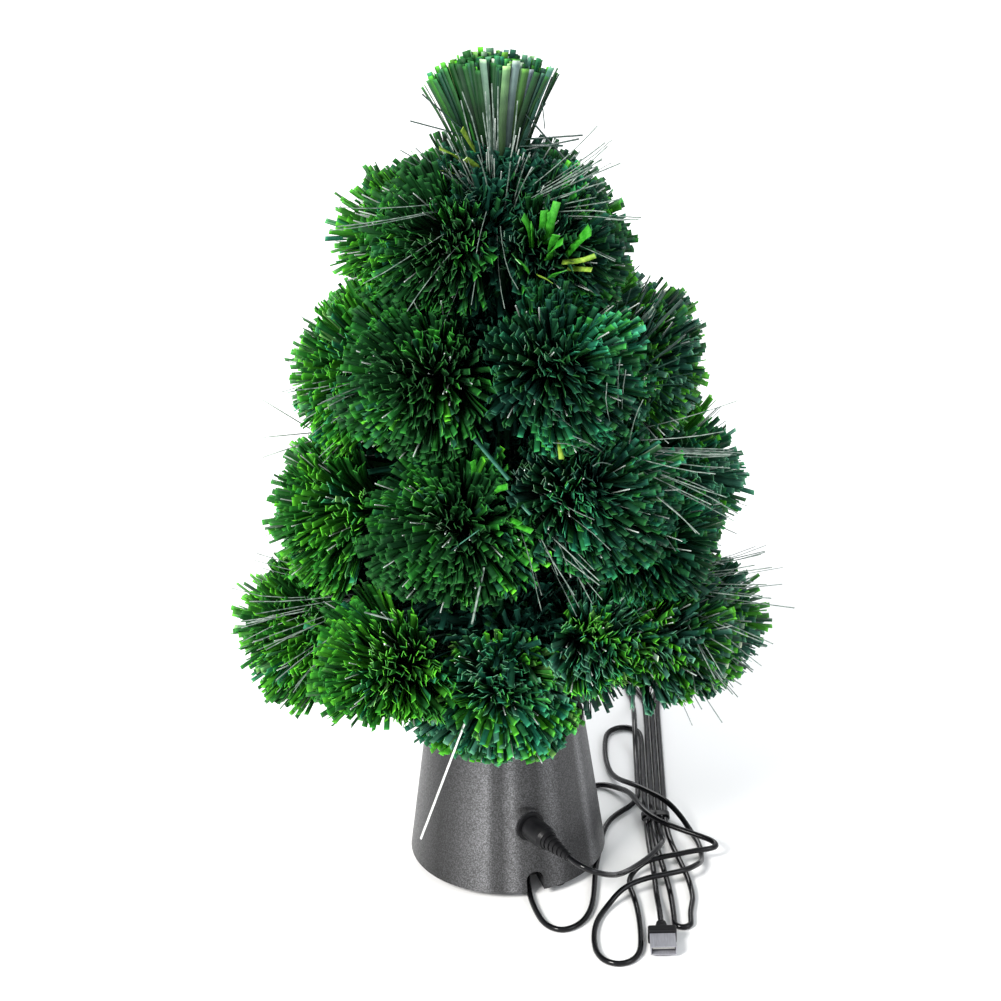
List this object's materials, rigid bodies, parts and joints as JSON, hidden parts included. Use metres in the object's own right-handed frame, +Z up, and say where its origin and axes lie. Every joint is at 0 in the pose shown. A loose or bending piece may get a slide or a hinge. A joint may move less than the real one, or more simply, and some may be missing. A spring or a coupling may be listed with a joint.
{
  "type": "fiber optic christmas tree",
  "caption": "Table-top tree of cut green strips and clear light fibres in a tapered round base with a lamp, a turning colour wheel and a plug-in USB lead.",
  "frame": {"origin": "on the table, under the middle of the round base and on the trunk's axis", "axes": "+Z up along the trunk, -Y towards the viewer, +X the viewer's right, where the lead lies"},
  "size_m": [0.2493, 0.2837, 0.4105],
  "materials": {
    "base_finish": "satin, fine speckle",
    "black_plastic": "matte black",
    "inner_plastic": "matte off-white",
    "rubber_foot": "soft black",
    "steel": "zinc plated",
    "motor_case": "drawn steel",
    "circuit_board": "white solder mask",
    "clear_lens": "clear",
    "colour_film": "clear tinted film in four colours",
    "nickel": "nickel plated",
    "contact_brass": "plated contact",
    "trunk_wrap": "dark green wound strip",
    "clear_fibre": "clear polished fibre",
    "foliage": "cut green film strips",
    "cord_black": "glossy black sheath",
    "plug_black": "moulded black",
    "tie_black": "coated wire tie",
    "wire_red": "insulated wire"
  },
  "bodies": {
    "base": {"base_shell": "base_finish", "rubber_feet": "rubber_foot", "bottom_cover": "black_plastic", "cover_screws": "steel", "top_cap": "black_plastic", "trunk_socket": "black_plastic", "chassis": "inner_plastic", "motor_body": "motor_case", "lamp_holder": "inner_plastic", "lamp_board": "circuit_board", "lamp_lens": "clear_lens", "power_socket": "black_plastic", "power_socket_nut": "nickel", "power_socket_pin": "contact_brass", "inner_wires": "wire_red", "cord_plug_lead": "cord_black", "cord_hank": "cord_black", "cord_tail": "cord_black", "twist_tie": "tie_black", "coaxial_plug_barrel": "nickel", "coaxial_plug_head": "plug_black", "usb_plug_shell": "nickel", "usb_plug_grip": "plug_black"},
    "colour_wheel_turning": {"motor_shaft": "steel", "wheel_hub": "inner_plastic", "colour_wheel": "inner_plastic", "colour_filters": "colour_film"},
    "trunk_foot": {"trunk_foot_sleeve": "black_plastic"},
    "tree": {"trunk_tube": "trunk_wrap", "fibre_bundle": "clear_fibre", "branch_stems": "trunk_wrap", "top_tuft": "foliage", "branch_1_left": "foliage", "branch_1_front_left": "foliage", "branch_1_front_right": "foliage", "branch_1_right": "foliage", "branch_1_back_right": "foliage", "branch_1_back_left": "foliage", "branch_2_left": "foliage", "branch_2_front_left": "foliage", "branch_2_front_right": "foliage", "branch_2_right": "foliage", "branch_2_back_right": "foliage", "branch_2_back_left": "foliage", "branch_3_left": "foliage", "branch_3_front_left": "foliage", "branch_3_front_right": "foliage", "branch_3_low_right": "foliage", "branch_3_right": "foliage", "branch_3_back_right": "foliage", "branch_3_back_left": "foliage", "branch_4_left": "foliage", "branch_4_front_left": "foliage", "branch_4_front": "foliage", "branch_4_front_right": "foliage", "branch_4_right_front": "foliage", "branch_4_right": "foliage", "branch_4_back_right": "foliage", "branch_4_back": "foliage", "branch_4_back_left": "foliage"}
  },
  "joints": [
    {"name": "trunk_lift", "type": "slide", "parent": "base", "child": "trunk_foot", "axis": [0, 0, 1], "range_m": [0, 0.03]},
    {"name": "tree_turn", "type": "hinge", "parent": "trunk_foot", "child": "tree", "pos_m": [0, 0, 0.085], "axis": [0, 0, 1], "continuous": true},
    {"name": "colour_wheel_spin", "type": "hinge", "parent": "base", "child": "colour_wheel_turning", "pos_m": [-0.01096, 0.01096, 0.0547], "axis": [0, 0, 1], "continuous": true}
  ]
}
